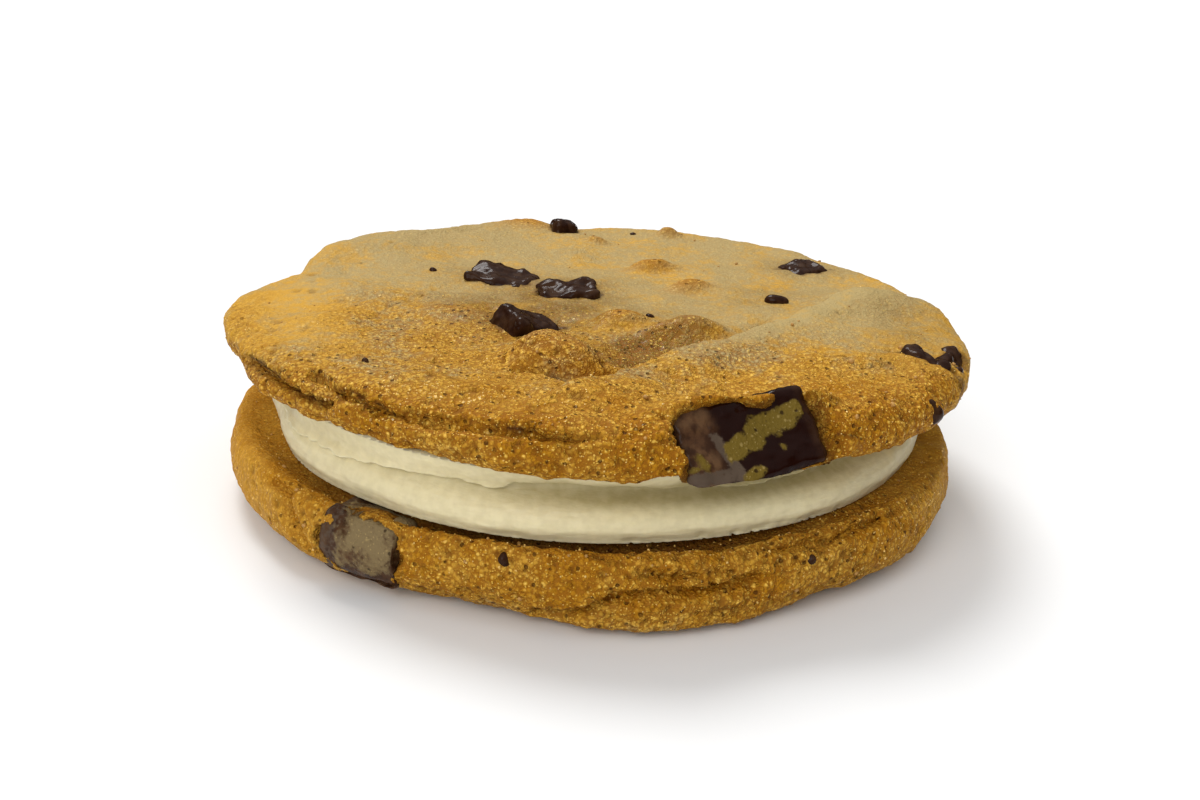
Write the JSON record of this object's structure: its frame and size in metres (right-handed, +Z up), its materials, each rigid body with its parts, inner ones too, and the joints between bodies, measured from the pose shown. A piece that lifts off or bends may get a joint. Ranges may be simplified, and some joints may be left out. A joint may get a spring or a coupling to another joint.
{
  "type": "cookie sandwich",
  "caption": "Round sandwich of two soft baked cookies with chocolate chunks and a thick disc of cream between them.",
  "frame": {"origin": "centre of the foot, where the lower cookie rests on the table", "axes": "+Z up through the stack, the side with the large bare chunk faces -Y"},
  "size_m": [0.0976, 0.0966, 0.0249],
  "materials": {
    "dough": "golden baked cookie dough, granular, soft satin",
    "cream": "smooth ivory cream, soft satin",
    "chocolate": "dark chocolate, glossy where melted"
  },
  "bodies": {
    "root": {"lower_cookie": "dough", "cream_filling": "cream", "upper_cookie": "dough", "front_chunk": "chocolate", "left_top_chunk": "chocolate", "middle_top_chunk": "chocolate", "near_top_chunk": "chocolate", "back_chunk": "chocolate", "right_back_chunk": "chocolate", "right_edge_chunk": "chocolate", "rear_rim_chunk": "chocolate", "lower_left_chunk": "chocolate", "lower_rear_chunk": "chocolate"}
  },
  "joints": []
}
